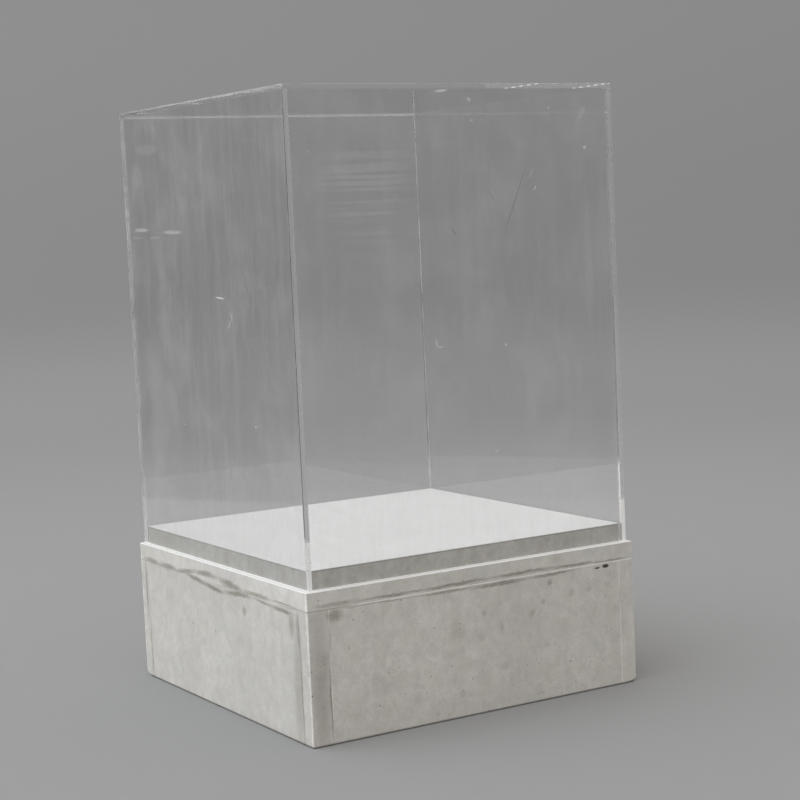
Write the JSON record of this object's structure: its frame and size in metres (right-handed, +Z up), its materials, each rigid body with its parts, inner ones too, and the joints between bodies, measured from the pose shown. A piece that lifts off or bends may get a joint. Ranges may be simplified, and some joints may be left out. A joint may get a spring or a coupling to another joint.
{
  "type": "display cover",
  "caption": "Clear five-sided acrylic display cover that lifts off a raised white platform on a low boxed base of pale grey board.",
  "frame": {"origin": "middle of the base's underside, where it stands on the floor", "axes": "+Z up through the cover, -Y out of the front face (the wider face in the picture), +X to the right seen from the front"},
  "size_m": [0.378, 0.378, 0.608],
  "materials": {
    "clear_acrylic": "polished",
    "white_facing": "matte",
    "grey_board": "matte",
    "raw_timber": "matte",
    "zinc_screw": "satin"
  },
  "bodies": {
    "base": {"platform_facing": "white_facing", "platform_board": "grey_board", "deck_board": "grey_board", "wall_front": "grey_board", "wall_back": "grey_board", "wall_left": "grey_board", "wall_right": "grey_board", "post_front_left": "grey_board", "post_front_right": "grey_board", "post_back_left": "grey_board", "post_back_right": "grey_board", "batten_front": "raw_timber", "batten_back": "raw_timber", "batten_left": "raw_timber", "batten_right": "raw_timber", "deck_screws": "zinc_screw", "platform_screws": "zinc_screw"},
    "cover": {"cover_front_panel": "clear_acrylic", "cover_back_panel": "clear_acrylic", "cover_left_panel": "clear_acrylic", "cover_right_panel": "clear_acrylic", "cover_top_panel": "clear_acrylic"}
  },
  "joints": [
    {"name": "cover_lift", "type": "slide", "parent": "base", "child": "cover", "axis": [0, 0, 1], "range_m": [0, 0.46]}
  ]
}
